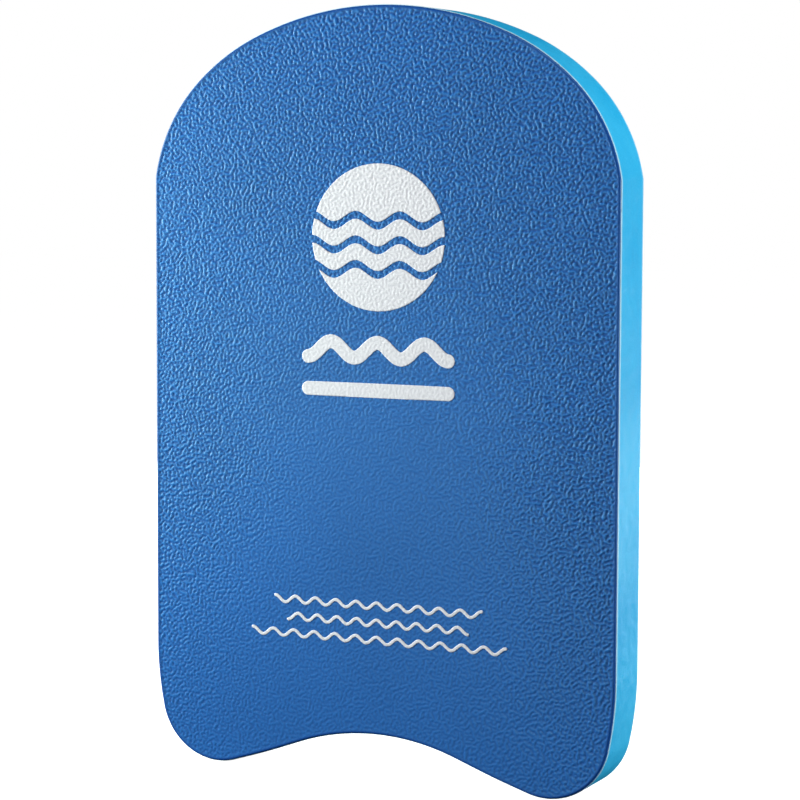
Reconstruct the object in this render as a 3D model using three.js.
// Kickboard: a laminated foam float that a swimmer holds at arm's length.
//
// Millimetres, +Z up. The board stands on its two tail lobes: X runs across it, Z along it to the
// rounded nose, and Y through its thickness, with the printed face towards -Y. The origin is in the
// middle of the board, level with the lobes' lowest point.
//
// From front to rear the board is a stack: print films, front skin, foam core, rear skin. Each layer
// is one closed slab, and each lies flat on the next.

import * as THREE from "three";

// ---- Driving dimensions ----

// The board
const LENGTH = 445;
const THICKNESS = 36.6;

// The outline's right half, as tangent arcs of [radius, degrees turned clockwise].
const NOSE_ARCS = [[197.5, 24], [132.5, 20], [98, 36], [16, 10]]; // crown, shoulder, corner to the side
const TAIL_ARCS = [[195, 12], [38, 95], [655, 4]]; // hip, round lobe, long flank towards the cut-out

// The layers
const PRINT_THICKNESS = 0.15;
const SKIN_THICKNESS = 1.2;
const SKIN_SETBACK = 0.35; // the skins stop this far inside the core's side
const CORE_EDGE_RADIUS = SKIN_SETBACK;
const SKIN_EDGE_RADIUS = SKIN_THICKNESS;

// The print: a round sun-over-water mark, a swell over a bar, and three rows of ripples
const ROUNDEL = { radius: 42, height: 313.5 };
const ROUNDEL_WAVE = { amplitude: 3, length: 28, gap: 4.5, highest: 12, pitch: 14 };
const SWELL = { height: 249, length: 89, amplitude: 4.5, waves: 3, stroke: 8 };
const BAR = { height: 226, length: 89, amplitude: 0, waves: 1, stroke: 8 };
const RIPPLE = { amplitude: 1.9, waveLength: 13.4, stroke: 1.8 };
const RIPPLE_ROWS = [["top", 101.5, 132], ["middle", 91.5, 115], ["bottom", 81.5, 162]];

// How finely curves are cut into straight lines
const ARC_STEP = 3; // degrees
const STEPS_PER_WAVE = 12;
const EDGE_STEPS = 3;
const ROUND_END_STEPS = 6;

// ---- Materials ----

const navyFoam = new THREE.MeshStandardMaterial({ color: 0x2b62a5, roughness: 0.5, metalness: 0 });
const cyanFoam = new THREE.MeshStandardMaterial({ color: 0x3ab0ea, roughness: 0.75, metalness: 0 });
const cyanSkin = new THREE.MeshStandardMaterial({ color: 0x1f9fe0, roughness: 0.55, metalness: 0 });
const whitePrint = new THREE.MeshStandardMaterial({ color: 0xe8e8f0, roughness: 0.45, metalness: 0 });

// ---- Where the layers lie, from the front ----

const PRINT_FRONT = -THICKNESS / 2;
const FRONT_SKIN_FRONT = PRINT_FRONT + PRINT_THICKNESS;
const CORE_FRONT = FRONT_SKIN_FRONT + SKIN_THICKNESS;
const REAR = THICKNESS / 2;
const CORE_REAR = REAR - SKIN_THICKNESS;

// ---- Helpers ----

const radians = (degrees) => (degrees * Math.PI) / 180;

// A point of an outline, with the direction that points straight out of it there.
function outlinePoint(x, z, outX, outZ) {
  return { x, z, outX, outZ };
}

// Follows one arc clockwise from a walker's place and heading, and leaves the walker at its end.
// A negative turn bends the other way. The points don't include the one it starts from.
function walkArc(walker, radius, turn) {
  const side = Math.sign(turn);
  const steps = Math.max(2, Math.ceil(Math.abs(turn) / ARC_STEP));
  const start = walker.heading;
  const centreX = walker.x + side * radius * Math.sin(start);
  const centreZ = walker.z - side * radius * Math.cos(start);
  const points = [];
  for (let i = 1; i <= steps; i++) {
    const heading = start - radians((turn * i) / steps);
    const outX = -Math.sin(heading);
    const outZ = Math.cos(heading);
    points.push(outlinePoint(centreX + side * radius * outX, centreZ + side * radius * outZ, outX, outZ));
  }
  const last = points[points.length - 1];
  walker.x = last.x;
  walker.z = last.z;
  walker.heading = start - radians(turn);
  return points;
}

// The board's closed outline, clockwise from the top of the nose.
function boardOutline() {
  const nose = { x: 0, z: LENGTH, heading: 0 };
  const nosePoints = NOSE_ARCS.flatMap(([radius, turn]) => walkArc(nose, radius, turn));

  // The tail is walked from height 0 and then moved, so that its lobes' lowest point is at 0.
  const tail = { x: nose.x, z: 0, heading: nose.heading };
  const sideEnd = outlinePoint(tail.x, tail.z, 1, 0);
  const tailPoints = [sideEnd, ...TAIL_ARCS.flatMap(([radius, turn]) => walkArc(tail, radius, turn))];
  const slope = -tail.heading - Math.PI;
  const cutOutRadius = tail.x / Math.sin(slope);
  const slopeDegrees = (slope * 180) / Math.PI;
  tailPoints.push(...walkArc(tail, cutOutRadius, -slopeDegrees));
  const [hip, lobe] = TAIL_ARCS;
  const lobeDepth = hip[0] * Math.sin(radians(hip[1])) + lobe[0] * (1 - Math.sin(radians(hip[1])));
  for (const point of tailPoints) point.z += lobeDepth;

  // The two points on the middle line are shared by both halves.
  const middleTop = outlinePoint(0, LENGTH, 0, 1);
  const middleTail = outlinePoint(0, tailPoints.pop().z, 0, -1);
  const right = [...nosePoints, ...tailPoints];
  const left = right.map((p) => outlinePoint(-p.x, p.z, -p.outX, p.outZ)).reverse();
  return [middleTop, ...right, middleTail, ...left];
}

// A closed slab with the outline at each level [y, inset], from front to rear. The outline runs
// clockwise as seen from the front, and an inset moves it straight in by that much.
function slab(outline, levels) {
  const count = outline.length;
  const positions = [];
  for (const [y, inset] of levels) {
    for (const p of outline) {
      positions.push(p.x - inset * p.outX, y, p.z - inset * p.outZ);
    }
  }
  const triangles = [];
  for (let level = 0; level < levels.length - 1; level++) {
    for (let i = 0; i < count; i++) {
      const a = level * count + i;
      const b = level * count + ((i + 1) % count);
      triangles.push(a, b, b + count, a, b + count, a + count);
    }
  }
  const contour = outline.map((p) => new THREE.Vector2(p.x, p.z));
  const rear = (levels.length - 1) * count;
  for (const [a, b, c] of THREE.ShapeUtils.triangulateShape(contour, [])) {
    const facesFront = cross(contour[a], contour[b], contour[c]) > 0;
    const [p, q, r] = facesFront ? [a, b, c] : [a, c, b];
    triangles.push(p, q, r, rear + p, rear + r, rear + q);
  }
  const geometry = new THREE.BufferGeometry();
  geometry.setAttribute("position", new THREE.Float32BufferAttribute(positions, 3));
  geometry.setIndex(triangles);
  geometry.computeVertexNormals();
  return geometry;
}

// Twice the area of a flat triangle, positive when it runs anticlockwise.
function cross(a, b, c) {
  return (b.x - a.x) * (c.y - a.y) - (b.y - a.y) * (c.x - a.x);
}

function part(name, geometry, material) {
  const mesh = new THREE.Mesh(geometry, material);
  mesh.name = name;
  return mesh;
}

// ---- The board's layers ----

const outline = boardOutline();

// Levels of a quarter-round edge, from its narrow end at y to its wide end at y + direction * radius.
function roundedEdge(y, direction, radius, innerInset) {
  const levels = [];
  for (let i = 0; i <= EDGE_STEPS; i++) {
    const angle = radians((90 * i) / EDGE_STEPS);
    levels.push([y + direction * radius * (1 - Math.cos(angle)), innerInset + radius * (1 - Math.sin(angle))]);
  }
  return levels;
}

// The thick block between the skins. Its long edges are rounded where the skins stop.
function foamCore() {
  const front = roundedEdge(CORE_FRONT, 1, CORE_EDGE_RADIUS, 0);
  const rear = roundedEdge(CORE_REAR, -1, CORE_EDGE_RADIUS, 0).reverse();
  return part("foam_core", slab(outline, [...front, ...rear]), cyanFoam);
}

// The embossed sheet on the printed face. Its rim rolls back to meet the core.
function frontSkin() {
  const rim = roundedEdge(FRONT_SKIN_FRONT, 1, SKIN_EDGE_RADIUS, SKIN_SETBACK);
  return part("front_skin", slab(outline, rim), navyFoam);
}

// The sheet on the other face, the same way round.
function rearSkin() {
  const rim = roundedEdge(REAR, -1, SKIN_EDGE_RADIUS, SKIN_SETBACK).reverse();
  return part("rear_skin", slab(outline, rim), cyanSkin);
}

// ---- The print ----

// A flat film with this outline, lying on the front skin.
function printFilm(name, filmOutline) {
  return part(name, slab(filmOutline, [[PRINT_FRONT, 0], [FRONT_SKIN_FRONT, 0]]), whitePrint);
}

// Where a wave crosses the roundel's rim, on the right: halved down to well under a micron.
function rimCrossing(waveHeight) {
  let inside = 0;
  let outside = ROUNDEL.radius;
  for (let i = 0; i < 40; i++) {
    const x = (inside + outside) / 2;
    if (Math.hypot(x, waveHeight(x)) < ROUNDEL.radius) inside = x;
    else outside = x;
  }
  return inside;
}

// Points along a wave from one rim crossing to the other, left to right.
function waveAcross(waveHeight) {
  const reach = rimCrossing(waveHeight);
  const steps = Math.ceil((2 * reach * STEPS_PER_WAVE) / ROUNDEL_WAVE.length);
  const points = [];
  for (let i = 0; i <= steps; i++) {
    const x = reach * ((2 * i) / steps - 1);
    points.push([x, waveHeight(x)]);
  }
  return points;
}

// Points on the rim between two others that lie on it, clockwise, without the ends.
function alongRim(from, to) {
  const start = Math.atan2(from[1], from[0]);
  let turn = start - Math.atan2(to[1], to[0]);
  if (turn < 0) turn += 2 * Math.PI;
  const steps = Math.max(2, Math.ceil(turn / radians(2 * ARC_STEP)));
  const points = [];
  for (let i = 1; i < steps; i++) {
    const angle = start - (turn * i) / steps;
    points.push([ROUNDEL.radius * Math.cos(angle), ROUNDEL.radius * Math.sin(angle)]);
  }
  return points;
}

// The part of the disc between an upper and a lower wave. Without one it runs on to the rim.
function roundelBand(name, upper, lower) {
  const over = upper ? waveAcross(upper) : [];
  const under = lower ? waveAcross(lower).reverse() : [];
  const points = [...over];
  if (over.length && under.length) points.push(...alongRim(over[over.length - 1], under[0]));
  points.push(...under);
  points.push(...alongRim(points[points.length - 1], points[0]));
  return printFilm(name, points.map(([x, z]) => outlinePoint(x, z + ROUNDEL.height, 0, 0)));
}

// The disc, cut across by three waves: a sun above three bands of water.
function roundel() {
  const { amplitude, length, gap, highest, pitch } = ROUNDEL_WAVE;
  const wave = (level) => (x) => level - amplitude * Math.cos((2 * Math.PI * x) / length);
  const cut = (row) => highest - gap / 2 - row * pitch;
  const aboveCut = (row) => wave(cut(row) + gap / 2);
  const belowCut = (row) => wave(cut(row) - gap / 2);
  return [
    roundelBand("print_sun", null, aboveCut(0)),
    roundelBand("print_water_upper", belowCut(0), aboveCut(1)),
    roundelBand("print_water_middle", belowCut(1), aboveCut(2)),
    roundelBand("print_water_lower", belowCut(2), null),
  ];
}

// A stroke of even width along a wave, with round ends. The wave lies level at both ends.
function strokeFilm(name, { height, length, amplitude, waves, stroke }) {
  const half = stroke / 2;
  const wave = (2 * Math.PI * waves) / length;
  const steps = amplitude ? waves * STEPS_PER_WAVE : 1;
  const upper = [];
  const lower = [];
  for (let i = 0; i <= steps; i++) {
    const x = length * (i / steps - 0.5);
    const z = height + amplitude * Math.cos(wave * x);
    const slope = -amplitude * wave * Math.sin(wave * x);
    const scale = half / Math.hypot(1, slope);
    upper.push(outlinePoint(x - scale * slope, z + scale, 0, 0));
    lower.unshift(outlinePoint(x + scale * slope, z - scale, 0, 0));
  }
  const endHeight = (upper[0].z + lower[steps].z) / 2;
  const roundEnd = (x, side) => {
    const points = [];
    for (let i = 1; i < ROUND_END_STEPS; i++) {
      const angle = (Math.PI * i) / ROUND_END_STEPS;
      points.push(outlinePoint(x + side * half * Math.sin(angle), endHeight + side * half * Math.cos(angle), 0, 0));
    }
    return points;
  };
  return printFilm(name, [...upper, ...roundEnd(length / 2, 1), ...lower, ...roundEnd(-length / 2, -1)]);
}

function rippleRow([place, height, length]) {
  const waves = Math.round(length / RIPPLE.waveLength);
  return strokeFilm("print_ripple_" + place, { ...RIPPLE, height, length, waves });
}

// ---- The assembly ----

const kickboard = new THREE.Group();
kickboard.name = "kickboard";
kickboard.add(foamCore(), frontSkin(), rearSkin());
kickboard.add(...roundel());
kickboard.add(strokeFilm("print_swell", SWELL), strokeFilm("print_bar", BAR));
kickboard.add(...RIPPLE_ROWS.map(rippleRow));

export default kickboard;
